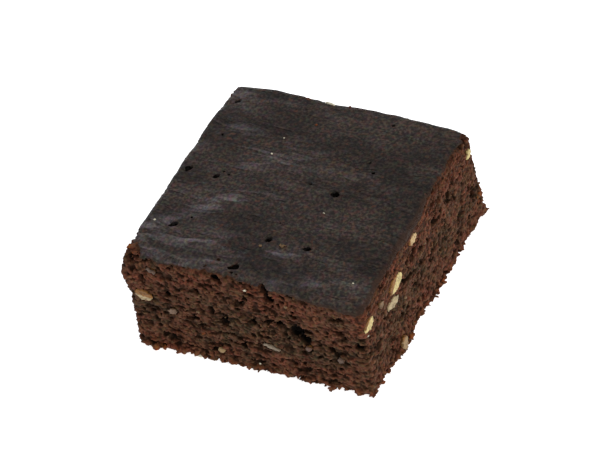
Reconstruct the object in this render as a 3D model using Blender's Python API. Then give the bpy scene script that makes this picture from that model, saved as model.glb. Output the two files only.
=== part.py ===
"""A square of chocolate brownie with chopped almonds, cut from a tray bake.

The block is one solid: a dense crumb under a smooth baked skin. Pieces of almond lie in its
four cut faces, each in a pocket of its own. The code works in metres with +Z up. The front
cut looks along -Y, and the origin lies under the middle of the block, where it rests.
"""

import math
import random
from typing import NamedTuple

import bmesh
import bpy
from mathutils import Matrix, Vector, noise

MM = 0.001

# The block
SIDE = 65 * MM
HEIGHT = 28.9 * MM
HALF = SIDE / 2
EDGE_ROUND = 1.6 * MM  # how far in from a cut face its edges start to turn
RIM_DROP = 1.9 * MM  # how far down the skin rolls over the top edges
FOOT_RISE = 0.6 * MM
EDGE_LINES = (0.35, 1.0)  # mesh lines that carry the rounding, as shares of its width
MESH_STEP = 3.6 * MM
SAME_PLACE = 1e-7  # points nearer than this are one point

# The skin on top
CROWN = 0.4 * MM
CORNER_DROP = 1.2 * MM
WAVES = ((17 * MM, 0.4, 0.15 * MM), (11 * MM, -0.9, 0.09 * MM), (27 * MM, 2.0, 0.14 * MM))

# The cut faces
LUMP_GRAIN = 6.5 * MM
LUMP_HEIGHT = 0.38 * MM
FINE_LUMPS = 2.3  # the smaller lumps are this many times finer, and half as high
FACE_HOLLOW = 0.15 * MM  # the knife leaves each face a little hollow
FACE_REACH = 4 * MM  # how deep behind a face its unevenness still moves the mesh

# How far the cut strays from a true box at each corner, by (right, back, up), in mm
CORNER_STRAY = {
    (0, 0, 0): (0.2, -1.4, 0.0),
    (1, 0, 0): (-0.1, -1.2, 0.0),
    (1, 1, 0): (0.8, 1.6, 0.0),
    (0, 1, 0): (-0.3, 0.9, 0.0),
    (0, 0, 1): (0.3, 1.2, 0.7),
    (1, 0, 1): (0.3, -0.2, 0.0),
    (1, 1, 1): (-0.2, 0.0, 0.0),
    (0, 1, 1): (0.1, 0.2, 0.4),
}

# The cut faces, counted in quarter turns from the front
FRONT, RIGHT, BACK, LEFT = range(4)

# The almonds and the hollows
POCKET_GAP = 0.3 * MM
NUT_PROUD = 0.15 * MM
CHIPS = 4  # flat breaks on each piece of almond
CHIP_NEAR, CHIP_FAR = 0.64, 0.86  # how far out the breaks lie, as shares of the radius
PIT_DEPTH = 0.75  # of the pit's mean width

# The hollows on the back and left faces, in mm and degrees
HIDDEN_PITS = 5  # on each face
PIT_REACH = 27  # how far from the face's middle they may lie
PIT_LEVELS = (6, 24)
PIT_LENGTHS = (1.8, 3.4)
PIT_SQUASH = (0.5, 0.9)  # a pit's height, as a share of its length
PIT_TILTS = (-25, 25)


class Nut(NamedTuple):
    """A piece of almond in a cut face. Sizes are in mm, from the middle of the face's foot."""

    name: str
    face: int
    along: float
    up: float
    length: float
    height: float
    tilt: float = 0
    depth: float = 3


class Pit(NamedTuple):
    """A hollow in a cut face, measured as a Nut is."""

    face: int
    along: float
    up: float
    length: float
    height: float
    tilt: float = 0


class Lump(NamedTuple):
    """A place where a cut face stands out, or falls back if out is negative, in mm."""

    face: int
    along: float
    up: float
    width: float
    out: float


class Pinhole(NamedTuple):
    """A burst bubble in the skin, in mm from the middle of the top."""

    x: float
    y: float
    width: float


NUTS = (
    Nut("nut_front_skinned", FRONT, -28.0, 16.8, 4.6, 3.0, -20),
    Nut("nut_front_grey", FRONT, -20.6, 13.0, 2.4, 1.8, 20),
    Nut("nut_front_low", FRONT, -8.4, 4.3, 1.9, 1.7, 35),
    Nut("nut_front_sliver", FRONT, 6.2, 9.4, 5.4, 1.2, -16),
    Nut("nut_front_pink", FRONT, 16.6, 12.1, 1.8, 1.5, 10),
    Nut("nut_front_corner", FRONT, 24.8, 10.8, 2.0, 1.6, -25),
    Nut("nut_front_flake", FRONT, -24.7, 25.2, 3.0, 1.1, -20),
    Nut("nut_right_near", RIGHT, -29.2, 22.3, 4.6, 2.9, -3, 3.6),
    Nut("nut_right_small", RIGHT, -22.4, 22.0, 2.1, 1.7, 30),
    Nut("nut_right_large", RIGHT, -14.4, 21.2, 6.6, 3.1, 2, 4.4),
    Nut("nut_right_second", RIGHT, -17.1, 17.2, 6.0, 2.2, -14, 3.6),
    Nut("nut_right_high", RIGHT, -3.1, 24.7, 4.2, 1.9, -4),
    Nut("nut_right_foot", RIGHT, -16.4, 3.2, 4.2, 2.3, 84, 3.6),
    Nut("nut_right_far", RIGHT, 29.6, 23.0, 3.0, 2.0, 50),
    Nut("nut_back_edge", BACK, 5.0, 25.8, 4.2, 1.8, 4),
    Nut("nut_back_large", BACK, -14.5, 17.5, 6.4, 3.2, -24, 4.0),
    Nut("nut_back_middle", BACK, 12.0, 12.0, 3.8, 2.2, 30),
    Nut("nut_back_low", BACK, -3.5, 5.6, 4.6, 1.9, 8),
    Nut("nut_back_small", BACK, 24.5, 19.0, 2.2, 1.8, -40),
    Nut("nut_left_large", LEFT, 9.0, 18.6, 6.0, 3.0, 16, 4.0),
    Nut("nut_left_middle", LEFT, -12.5, 10.4, 4.4, 2.4, -32),
    Nut("nut_left_low", LEFT, 19.5, 6.2, 3.0, 1.8, 12),
    Nut("nut_left_small", LEFT, -24.0, 20.4, 2.0, 1.7, 60),
)

PITS = (
    Pit(FRONT, 14.0, 17.5, 3.0, 2.2, -30),
    Pit(FRONT, 16.6, 15.2, 2.0, 1.7, -20),
    Pit(FRONT, 7.2, 25.4, 2.1, 3.0, 8),
    Pit(FRONT, -0.6, 21.6, 2.2, 1.7),
    Pit(FRONT, 2.0, 16.2, 2.0, 1.5),
    Pit(FRONT, -5.9, 14.7, 2.3, 1.5, -8),
    Pit(FRONT, -30.0, 25.6, 3.0, 2.2, -20),
    Pit(FRONT, 30.2, 16.7, 2.4, 2.2),
    Pit(FRONT, 25.3, 24.1, 4.6, 1.0, 4),
    Pit(RIGHT, 7.8, 19.8, 3.4, 1.8, 24),
    Pit(RIGHT, 8.2, 25.4, 2.8, 1.4, 12),
    Pit(RIGHT, -7.3, 21.6, 1.8, 1.5),
    Pit(RIGHT, 16.7, 21.0, 2.2, 1.7, 20),
    Pit(RIGHT, 27.3, 11.6, 2.6, 2.8),
)

LUMPS = (
    Lump(LEFT, 30, 22, 10, 1.3),
    Lump(FRONT, -27, 1, 5, 0.9),
    Lump(FRONT, -20, 0.5, 4, 0.7),
    Lump(FRONT, 8, 1, 6, -0.6),
    Lump(FRONT, 15, 0.5, 4, 0.9),
    Lump(RIGHT, -16, 2, 7, 1.3),
    Lump(RIGHT, -7, 1, 7, -0.9),
    Lump(RIGHT, 22, 2, 8, -1.0),
    Lump(BACK, -10, 2, 6, 0.8),
    Lump(BACK, 18, 1, 7, -0.6),
    Lump(LEFT, -18, 2, 6, 0.7),
)

PINHOLES = (
    Pinhole(10.3, 1.4, 1.9),
    Pinhole(-23.9, -19.4, 1.8),
    Pinhole(-2.9, -28.1, 1.9),
    Pinhole(11.7, -17.5, 1.5),
    Pinhole(1.2, -17.3, 1.4),
    Pinhole(-29.2, -0.6, 1.5),
    Pinhole(-21.1, -1.1, 1.4),
    Pinhole(-28.5, 25.7, 1.4),
)


def clear_scene():
    """Empties the open file, so that the model starts from nothing."""
    for old in list(bpy.data.objects):
        bpy.data.objects.remove(old)


def new_collection(name):
    """A collection of this name, linked into the scene."""
    collection = bpy.data.collections.new(name)
    bpy.context.scene.collection.children.link(collection)
    return collection


def new_material(name, colour, roughness):
    """A Principled material of one colour."""
    material = bpy.data.materials.new(name)
    material.use_nodes = True
    shader = material.node_tree.nodes["Principled BSDF"]
    shader.inputs["Base Color"].default_value = (*colour, 1)
    shader.inputs["Roughness"].default_value = roughness
    shader.inputs["Metallic"].default_value = 0
    material.diffuse_color = (*colour, 1)
    return material


def new_object(name, mesh, collection, place=None):
    """An object from a bmesh, which is freed."""
    data = bpy.data.meshes.new(name)
    mesh.to_mesh(data)
    mesh.free()
    made = bpy.data.objects.new(name, data)
    made.matrix_world = place or Matrix.Identity(4)
    collection.objects.link(made)
    return made


def new_cutter(name, mesh, cutters, place):
    """A solid that is only cut away from the block."""
    made = new_object(name, mesh, cutters, place)
    made.hide_render = True
    made.display_type = "WIRE"


# The block's form: a point of a true box goes through rolled, then baked


def rolled(point):
    """A point on a sharp box, moved in onto its rounded edges."""
    flat = HALF - EDGE_ROUND
    inner = Vector((
        min(max(point.x, -flat), flat),
        min(max(point.y, -flat), flat),
        min(max(point.z, FOOT_RISE), HEIGHT - RIM_DROP),
    ))
    drop = RIM_DROP if point.z > HEIGHT / 2 else FOOT_RISE
    reach = Vector((EDGE_ROUND, EDGE_ROUND, drop))
    out = point - inner
    way = Vector(part / whole for part, whole in zip(out, reach))
    return inner + way.normalized() * reach


def corner_stray(point):
    """How far the cut lies from a true box here, blended from the eight corners."""
    shares = (point.x / SIDE + 0.5, point.y / SIDE + 0.5, point.z / HEIGHT)
    total = Vector()
    for corner, shift in CORNER_STRAY.items():
        weight = math.prod(share if end else 1 - share for end, share in zip(corner, shares))
        total += weight * MM * Vector(shift)
    return total


def skin_lift(x, y):
    """The skin's crown, its low corners and its slow waves."""
    across, back = x / HALF, y / HALF
    lift = CROWN * (1 - across**2) * (1 - back**2) - CORNER_DROP * abs(across * back) ** 4
    for length, heading, height in WAVES:
        run = x * math.sin(heading) + y * math.cos(heading)
        lift += height * math.sin(math.tau * run / length + heading)
    return lift


def face_place(face, along, up):
    """The point of the true box at this place on a cut face, in metres."""
    return Matrix.Rotation(face * math.pi / 2, 3, "Z") @ Vector((along, -HALF, up))


def unevenness(point):
    """How far a cut face stands out here: its hollow, its crumb and its named lumps."""
    out = -FACE_HOLLOW * math.sin(math.pi * point.z / HEIGHT)
    out += LUMP_HEIGHT * noise.noise(point / LUMP_GRAIN)
    out += LUMP_HEIGHT * noise.noise(point * FINE_LUMPS / LUMP_GRAIN) / 2
    for lump in LUMPS:
        away = point - face_place(lump.face, lump.along * MM, lump.up * MM)
        out += lump.out * MM * math.exp(-((away.length / (lump.width * MM / 2)) ** 2))
    return out


def face_share(value):
    """1 or -1 on the cut face that this coordinate lies on, and less behind it."""
    return math.copysign(max(abs(value) - HALF + FACE_REACH, 0) / FACE_REACH, value)


def baked(point):
    """Where a point of the true box lies on the real block."""
    moved = point + corner_stray(point)
    moved.z += skin_lift(point.x, point.y) * (point.z / HEIGHT) ** 2
    out = unevenness(point)
    moved.x += out * face_share(point.x)
    moved.y += out * face_share(point.y)
    return moved


def stations(low, high, high_edge):
    """Mesh lines between two rounded edges: even ones, with closer ones in the upper edge."""
    steps = round((high - high_edge - low) / MESH_STEP)
    even = [low + (high - high_edge - low) * step / steps for step in range(steps)]
    return even + [high - high_edge * share for share in EDGE_LINES]


def slice_mesh(mesh, axis, lines):
    """Cuts mesh lines across one axis without removing anything."""
    normal = Vector(float(number == axis) for number in range(3))
    for line in lines:
        everything = mesh.verts[:] + mesh.edges[:] + mesh.faces[:]
        bmesh.ops.bisect_plane(
            mesh, geom=everything, dist=SAME_PLACE, plane_co=normal * line, plane_no=normal
        )


def make_block(collection, crumb, skin):
    """The brownie itself: crumb and skin in one closed body."""
    mesh = bmesh.new()
    box = Matrix.Translation((0, 0, HEIGHT / 2)) @ Matrix.Diagonal((SIDE, SIDE, HEIGHT, 1))
    bmesh.ops.create_cube(mesh, size=1, matrix=box)
    for axis in (0, 1):
        for side in (-1, 1):
            slice_mesh(mesh, axis, [side * line for line in stations(0, HALF, EDGE_ROUND)])
    slice_mesh(mesh, 2, stations(FOOT_RISE, HEIGHT, RIM_DROP))
    for face in mesh.faces:
        face.material_index = int(face.normal.z > 0.5)
    for vertex in mesh.verts:
        vertex.co = baked(rolled(vertex.co))
    level = [face for face in mesh.faces if max(corner.co.z for corner in face.verts) < SAME_PLACE]
    bmesh.ops.dissolve_faces(mesh, faces=level)
    block = new_object("brownie", mesh, collection)
    block.data.materials.append(crumb)
    block.data.materials.append(skin)
    block.data.shade_smooth()
    block.data.set_sharp_from_angle(angle=math.radians(40))
    return block


def face_matrix(piece, proud=0.0):
    """Where a nut or pit sits: its own X along the face, its -Y out of it, turned by its tilt."""
    true_place = face_place(piece.face, piece.along * MM, piece.up * MM)
    turn = Matrix.Rotation(piece.face * math.pi / 2, 4, "Z")
    tilt = Matrix.Rotation(-math.radians(piece.tilt), 4, "Y")
    outward = turn @ Vector((0, -proud, 0))
    return Matrix.Translation(baked(true_place) + outward) @ turn @ tilt


def cut_flat(mesh, point, normal):
    """Cuts away what lies beyond a plane and closes the cut."""
    everything = mesh.verts[:] + mesh.edges[:] + mesh.faces[:]
    cut = bmesh.ops.bisect_plane(
        mesh, geom=everything, dist=SAME_PLACE, plane_co=point, plane_no=normal, clear_outer=True
    )
    rim = [part for part in cut["geom_cut"] if isinstance(part, bmesh.types.BMEdge)]
    bmesh.ops.contextual_create(mesh, geom=rim)


def almond_chunk(nut, extra):
    """A chopped almond around its own middle: an egg with flat breaks, grown by extra all round."""
    chance = random.Random(nut.name)
    mesh = bmesh.new()
    size = Vector((nut.length, nut.depth, nut.height)) * MM / 2
    bmesh.ops.create_icosphere(mesh, subdivisions=1, radius=1)
    for _ in range(CHIPS):
        way = Vector(chance.gauss(0, 1) for _ in range(3)).normalized()
        cut_flat(mesh, way * chance.uniform(CHIP_NEAR, CHIP_FAR), way)
    grown = size + Vector((extra, extra, extra)) / CHIP_NEAR
    bmesh.ops.scale(mesh, vec=grown, verts=mesh.verts)
    return mesh


def make_nut(nut, collection, cutters, material):
    """One piece of almond, sliced flat by the knife, and the cutter for its pocket."""
    place = face_matrix(nut, NUT_PROUD)
    mesh = almond_chunk(nut, 0.0)
    cut_flat(mesh, Vector(), Vector((0, -1, 0)))
    made = new_object(nut.name, mesh, collection, place)
    made.data.materials.append(material)
    new_cutter("pocket_" + nut.name, almond_chunk(nut, POCKET_GAP), cutters, place)


def make_pit(number, pit, cutters):
    """A hollow left by a bubble or by crumb that the knife pulled out."""
    mesh = bmesh.new()
    depth = PIT_DEPTH * (pit.length + pit.height) / 2
    bmesh.ops.create_icosphere(mesh, subdivisions=2, radius=1)
    size = Vector((pit.length, depth * 2, pit.height)) * MM / 2
    bmesh.ops.scale(mesh, vec=size, verts=mesh.verts)
    new_cutter(f"pit_{number:02}", mesh, cutters, face_matrix(pit))


def hidden_pits():
    """The same sort of hollows on the two faces at the back, one in each stretch of a face."""
    chance = random.Random("pits")
    for face in (BACK, LEFT):
        for stretch in range(HIDDEN_PITS):
            share = (stretch + chance.random()) / HIDDEN_PITS
            along = (2 * share - 1) * PIT_REACH
            length = chance.uniform(*PIT_LENGTHS)
            height = length * chance.uniform(*PIT_SQUASH)
            up = chance.uniform(*PIT_LEVELS)
            yield Pit(face, along, up, length, height, chance.uniform(*PIT_TILTS))


def make_pinhole(number, hole, cutters):
    """A burst bubble, sunk into the skin."""
    mesh = bmesh.new()
    bmesh.ops.create_icosphere(mesh, subdivisions=2, radius=hole.width * MM / 2)
    place = Matrix.Translation(baked(Vector((hole.x * MM, hole.y * MM, HEIGHT))))
    new_cutter(f"pinhole_{number:02}", mesh, cutters, place)


def cut_block(block, cutters):
    """Takes the pockets, pits and pinholes out of the block."""
    boolean = block.modifiers.new("hollows", "BOOLEAN")
    boolean.operation = "DIFFERENCE"
    boolean.solver = "EXACT"
    boolean.operand_type = "COLLECTION"
    boolean.collection = cutters


def centre_on_base(pieces, cutters):
    """Slides everything so that the origin is under the middle of the whole."""
    bpy.context.view_layer.update()
    corners = [piece.matrix_world @ vertex.co for piece in pieces for vertex in piece.data.vertices]
    middle = Vector()
    for axis in (0, 1):
        places = [corner[axis] for corner in corners]
        middle[axis] = (min(places) + max(places)) / 2
    for piece in [*pieces, *cutters]:
        piece.location -= middle


def main():
    """Builds the block and its almonds."""
    clear_scene()
    collection = new_collection("chocolate_brownie")
    cutters = new_collection("cutters")
    crumb = new_material("crumb", (0.085, 0.042, 0.026), 0.9)
    skin = new_material("skin", (0.030, 0.022, 0.019), 0.5)
    almond = new_material("almond", (0.62, 0.47, 0.27), 0.6)
    block = make_block(collection, crumb, skin)
    for nut in NUTS:
        make_nut(nut, collection, cutters, almond)
    for number, pit in enumerate([*PITS, *hidden_pits()]):
        make_pit(number, pit, cutters)
    for number, hole in enumerate(PINHOLES):
        make_pinhole(number, hole, cutters)
    cut_block(block, cutters)
    centre_on_base(list(collection.objects), list(cutters.objects))


main()
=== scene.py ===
"""Looks of a square of chocolate brownie with chopped almonds, cut from a tray bake.

The block and every almond start as distance fields of the frame's solids. Pores, grain, burst
bubbles and the ragged lip of the skin are carved into those fields, which are then meshed. A
point's depth under the smooth block and its share of skin are kept on the mesh, where the
finishes read them. The code works in metres, in the frame of the solids: the front cut looks
along -Y, and +Z goes up through the skin.
"""

import sys

import logging
import math
from dataclasses import dataclass, field
from enum import Enum
from typing import NamedTuple

import bpy
import numpy as np
import openvdb
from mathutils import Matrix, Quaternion, Vector


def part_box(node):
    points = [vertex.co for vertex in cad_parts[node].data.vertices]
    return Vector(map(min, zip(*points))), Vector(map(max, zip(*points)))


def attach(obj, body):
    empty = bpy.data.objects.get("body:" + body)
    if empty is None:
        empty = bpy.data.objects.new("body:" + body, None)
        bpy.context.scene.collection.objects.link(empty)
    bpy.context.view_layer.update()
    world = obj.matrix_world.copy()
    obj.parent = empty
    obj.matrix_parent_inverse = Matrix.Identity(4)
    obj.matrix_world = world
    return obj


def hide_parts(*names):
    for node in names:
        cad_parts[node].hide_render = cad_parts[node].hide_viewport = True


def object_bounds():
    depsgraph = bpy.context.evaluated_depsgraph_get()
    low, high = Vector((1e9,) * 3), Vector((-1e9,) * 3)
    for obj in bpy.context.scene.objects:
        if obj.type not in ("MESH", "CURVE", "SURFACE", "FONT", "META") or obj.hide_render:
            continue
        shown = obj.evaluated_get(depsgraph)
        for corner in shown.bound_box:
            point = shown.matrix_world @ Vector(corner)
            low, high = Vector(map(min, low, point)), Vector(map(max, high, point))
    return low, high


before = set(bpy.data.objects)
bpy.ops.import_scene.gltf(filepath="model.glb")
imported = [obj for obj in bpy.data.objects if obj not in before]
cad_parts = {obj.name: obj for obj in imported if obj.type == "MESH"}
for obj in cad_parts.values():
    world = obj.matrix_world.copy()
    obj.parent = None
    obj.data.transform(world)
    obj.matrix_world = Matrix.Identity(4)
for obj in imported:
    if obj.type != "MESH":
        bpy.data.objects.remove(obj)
CAD_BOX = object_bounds()

MM = 0.001
BODY = "root"
BLOCK_NODE = "brownie"

log = logging.getLogger("brownie")


class Side(Enum):
    """The four cut faces, in quarter turns from the front."""

    FRONT = 0
    RIGHT = 1
    BACK = 2
    LEFT = 3

    @property
    def outward(self) -> np.ndarray:
        """The way the face looks."""
        turn = self.value * math.pi / 2
        return np.round([math.sin(turn), -math.cos(turn), 0.0], 6)

    @property
    def along(self) -> np.ndarray:
        """The way that runs left to right for someone who looks at the face."""
        turn = self.value * math.pi / 2
        return np.round([math.cos(turn), math.sin(turn), 0.0], 6)


def smooth_step(low: float, high: float, value: np.ndarray) -> np.ndarray:
    """A soft step from 0 at low to 1 at high.

    Args:
        low: Where the step starts.
        high: Where it ends.
        value: What to read it at.

    Returns:
        The step's height at each value.
    """
    share = np.clip((value - low) / (high - low), 0, 1)
    return share * share * (3 - 2 * share)


def carved(solid: np.ndarray, tool: np.ndarray, blend: float) -> np.ndarray:
    """Takes a tool's shape out of a solid and rounds the edge between them.

    Args:
        solid: The solid's distance field.
        tool: The distance field of what is taken away.
        blend: How wide the rounding is.

    Returns:
        The distance field of what is left.
    """
    near = np.clip(1 - np.abs(solid + tool) / blend, 0, None)
    return np.maximum(solid, -tool) + near * near * (blend / 4)


@dataclass(frozen=True)
class Lattice:
    """A box of cubic cells, which the distance fields are kept in."""

    first: tuple[int, int, int]
    counts: tuple[int, int, int]
    cell: float

    @classmethod
    def around(cls, low: Vector, high: Vector, cell: float, spare: int) -> "Lattice":
        """The lattice that holds a box.

        Args:
            low: The box's lowest corner.
            high: Its highest corner.
            cell: The size of a cell.
            spare: How many more cells to add on every side.

        Returns:
            The lattice.
        """
        first = [math.floor(value / cell) - spare for value in low]
        last = [math.ceil(value / cell) + spare for value in high]
        counts = [end - start + 1 for start, end in zip(first, last)]
        return cls(tuple(first), tuple(counts), cell)

    def lines(self) -> list[np.ndarray]:
        """The places of the cells along X, Y and Z, shaped so that they can be added up."""
        shapes = ((-1, 1, 1), (1, -1, 1), (1, 1, -1))
        return [
            ((start + np.arange(count, dtype=np.float32)) * self.cell).reshape(shape)
            for start, count, shape in zip(self.first, self.counts, shapes)
        ]

    def distance_to(self, points: np.ndarray, corners: np.ndarray, reach: float) -> np.ndarray:
        """The distance from each cell to a closed mesh, negative inside it.

        Args:
            points: The mesh's points.
            corners: The numbers of each triangle's or quad's points.
            reach: How far from the surface the distance is true. It stays the same beyond.

        Returns:
            One value for each cell.
        """
        kind = "triangles" if corners.shape[1] == 3 else "quads"
        grid = openvdb.FloatGrid.createLevelSetFromPolygons(
            np.ascontiguousarray(points, np.float64),
            transform=openvdb.createLinearTransform(voxelSize=self.cell),
            halfWidth=reach / self.cell,
            **{kind: np.ascontiguousarray(corners, np.uint32)},
        )
        found = np.empty(self.counts, np.float32)
        grid.copyToArray(found, ijk=self.first)
        return found

    def surface(self, distance: np.ndarray, level: float = 0.0) -> tuple[np.ndarray, np.ndarray]:
        """Meshes a distance field.

        Args:
            distance: One value for each cell.
            level: The distance to draw the surface at.

        Returns:
            The points, and the numbers of each quad's points, facing out.
        """
        grid = openvdb.FloatGrid(float(distance.max()))
        grid.copyFromArray(np.ascontiguousarray(distance, np.float32), ijk=self.first)
        grid.transform = openvdb.createLinearTransform(voxelSize=self.cell)
        grid.gridClass = openvdb.GridClass.LEVEL_SET
        points, _, quads = grid.convertToPolygons(isovalue=level, adaptivity=0.0)
        return points.astype(np.float64), quads.astype(np.int64)[:, ::-1]

    def read(self, values: np.ndarray, points: np.ndarray) -> np.ndarray:
        """Reads a field between its cells.

        Args:
            values: One value for each cell.
            points: Where to read it.

        Returns:
            One value for each point.
        """
        place = points / self.cell - np.array(self.first)
        place = np.clip(place, 0, np.array(self.counts) - 1.001)
        low = place.astype(np.int64)
        share = place - low
        found = np.zeros(len(points))
        for corner in np.ndindex(2, 2, 2):
            weight = np.prod(np.where(corner, share, 1 - share), axis=1)
            found += weight * values[tuple((low + corner).T)]
        return found

    def coarser(self, step: int) -> "Lattice":
        """A lattice over the same box, with cells that are step times as big."""
        first = tuple(start // step for start in self.first)
        last = [start + count for start, count in zip(self.first, self.counts)]
        counts = tuple(-(-end // step) - start + 1 for start, end in zip(first, last))
        return Lattice(first, counts, self.cell * step)

    def stretched_to(self, values: np.ndarray, finer: "Lattice") -> np.ndarray:
        """Blends a field between its cells for a finer lattice.

        Args:
            values: One value for each cell of this lattice.
            finer: The lattice that wants them.

        Returns:
            One value for each cell of the finer lattice.
        """
        for axis, (start, count) in enumerate(zip(finer.first, finer.counts)):
            place = (start + np.arange(count)) * (finer.cell / self.cell) - self.first[axis]
            low = np.clip(place.astype(np.int64), 0, self.counts[axis] - 2)
            shape = [1, 1, 1]
            shape[axis] = count
            share = (place - low).astype(np.float32).reshape(shape)
            values = values.take(low, axis) * (1 - share) + values.take(low + 1, axis) * share
        return values

    def window(self, low: Vector, high: Vector) -> tuple[tuple[slice, ...], "Lattice"]:
        """The part of the lattice that holds a box.

        Args:
            low: The box's lowest corner.
            high: Its highest corner.

        Returns:
            Where the part lies in a field, and the part as a lattice.
        """
        ends = zip(self.first, self.counts, low, high)
        spans = [
            (
                max(math.floor(bottom / self.cell), start),
                min(math.ceil(top / self.cell) + 1, start + count),
            )
            for start, count, bottom, top in ends
        ]
        window = tuple(slice(a - start, b - start) for (a, b), start in zip(spans, self.first))
        first, counts = tuple(a for a, _ in spans), tuple(b - a for a, b in spans)
        return window, Lattice(first, counts, self.cell)

    def noise(self, seed: int, sizes: tuple[float, float, float], step: int = 1) -> np.ndarray:
        """Smooth random values, with bumps of about one size.

        Args:
            seed: The number that the values follow from.
            sizes: From one bump to the next along X, Y and Z.
            step: The noise is worked out in cells this many times as big, and blended.

        Returns:
            One value for each cell, with an average of 0 and a spread of 1.
        """
        if step > 1:
            coarse = self.coarser(step)
            return coarse.stretched_to(coarse.noise(seed, sizes), self)
        white = np.random.default_rng(seed).standard_normal(self.counts, dtype=np.float32)
        waves = [np.fft.fftfreq(count, self.cell) for count in self.counts[:2]]
        waves.append(np.fft.rfftfreq(self.counts[2], self.cell))
        shapes = ((-1, 1, 1), (1, -1, 1), (1, 1, -1))
        squared = sum(
            (wave.reshape(shape) * size) ** 2 for wave, shape, size in zip(waves, shapes, sizes)
        )
        made = np.fft.irfftn(np.fft.rfftn(white) * squared * np.exp(-squared), s=self.counts)
        return (made / made.std()).astype(np.float32)


def solid_mesh(node: str) -> tuple[np.ndarray, np.ndarray]:
    """The points and triangles of one of the frame's solids."""
    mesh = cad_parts[node].data
    mesh.calc_loop_triangles()
    points = np.empty(len(mesh.vertices) * 3, np.float32)
    mesh.vertices.foreach_get("co", points)
    corners = np.empty(len(mesh.loop_triangles) * 3, np.int32)
    mesh.loop_triangles.foreach_get("vertices", corners)
    return points.reshape(-1, 3), corners.reshape(-1, 3)


def biggest_body(points: np.ndarray, quads: np.ndarray) -> np.ndarray:
    """The quads of a mesh's biggest body, without loose bits and sealed bubbles.

    Args:
        points: The mesh's points.
        quads: The numbers of each quad's points.

    Returns:
        The quads that stay.
    """
    label = np.arange(len(points))
    while True:
        lowest = label[quads].min(axis=1)
        joined = label.copy()
        for corner in range(4):
            np.minimum.at(joined, quads[:, corner], lowest)
        joined = joined[joined]
        if (joined == label).all():
            break
        label = joined
    owner = label[quads[:, 0]]
    return quads[owner == np.bincount(owner).argmax()]


def new_piece(
    name: str,
    points: np.ndarray,
    faces: np.ndarray,
    readings: dict[str, np.ndarray] | None = None,
) -> bpy.types.Object:
    """A mesh object, shaded smooth, from faces that all have as many corners.

    Args:
        name: The piece's name.
        points: All points. Those that no face uses are left out.
        faces: The numbers of each face's points.
        readings: A value for each point, by the name that the finishes read it under.

    Returns:
        The object, linked into the scene.
    """
    used, corners = np.unique(faces, return_inverse=True)
    corners = corners.reshape(faces.shape)
    mesh = bpy.data.meshes.new(name)
    mesh.vertices.add(len(used))
    mesh.vertices.foreach_set("co", points[used].astype(np.float32).ravel())
    mesh.loops.add(corners.size)
    mesh.loops.foreach_set("vertex_index", corners.astype(np.int32).ravel())
    mesh.polygons.add(len(corners))
    starts = np.arange(len(corners), dtype=np.int32) * corners.shape[1]
    mesh.polygons.foreach_set("loop_start", starts)
    mesh.update(calc_edges=True)
    mesh.shade_smooth()
    for reading, values in (readings or {}).items():
        layer = mesh.attributes.new(reading, "FLOAT", "POINT")
        layer.data.foreach_set("value", values[used].astype(np.float32))
    made = bpy.data.objects.new(name, mesh)
    bpy.context.scene.collection.objects.link(made)
    return made


def lay_flat(piece: bpy.types.Object, across: np.ndarray, upward: np.ndarray) -> None:
    """Gives a piece a map that looks straight at it.

    Args:
        piece: The piece.
        across: The way that becomes the map's U.
        upward: The way that becomes its V.
    """
    mesh = piece.data
    points = np.empty(len(mesh.vertices) * 3, np.float32)
    mesh.vertices.foreach_get("co", points)
    points = points.reshape(-1, 3)
    corners = np.empty(len(mesh.loops), np.int32)
    mesh.loops.foreach_get("vertex_index", corners)
    flat = np.stack([points @ across, points @ upward], axis=1)
    low, high = flat.min(axis=0), flat.max(axis=0)
    flat = MAP_MARGIN + (flat - low) / (high - low) * (1 - 2 * MAP_MARGIN)
    layer = mesh.uv_layers.new(name="OFBake")
    layer.uv.foreach_set("vector", flat[corners].astype(np.float32).ravel())


MAP_MARGIN = 0.004


# Shader arithmetic


class Value:
    """A number that varies over a surface. Arithmetic on it adds Math nodes."""

    def __init__(self, bench: "Bench", socket: bpy.types.NodeSocket) -> None:
        """Keeps the tree that the socket is in."""
        self.bench = bench
        self.socket = socket

    def _math(self, operation: str, *terms: "Value | float") -> "Value":
        """The result of one Math node."""
        return self.bench.node("ShaderNodeMath", {"operation": operation}, dict(enumerate(terms)))

    def __add__(self, other: "Value | float") -> "Value":
        """This plus other."""
        return self._math("ADD", self, other)

    def __radd__(self, other: float) -> "Value":
        """Other plus this."""
        return self._math("ADD", other, self)

    def __sub__(self, other: "Value | float") -> "Value":
        """This less other."""
        return self._math("SUBTRACT", self, other)

    def __rsub__(self, other: float) -> "Value":
        """Other less this."""
        return self._math("SUBTRACT", other, self)

    def __mul__(self, other: "Value | float") -> "Value":
        """This times other."""
        return self._math("MULTIPLY", self, other)

    def __rmul__(self, other: float) -> "Value":
        """Other times this."""
        return self._math("MULTIPLY", other, self)

    def step(self, low: float, high: float) -> "Value":
        """A soft step from 0 at low to 1 at high."""
        return self.bench.node(
            "ShaderNodeMapRange",
            {"interpolation_type": "SMOOTHSTEP"},
            {"Value": self, "From Min": low, "From Max": high},
        )


Colour = tuple[float, float, float]


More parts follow.
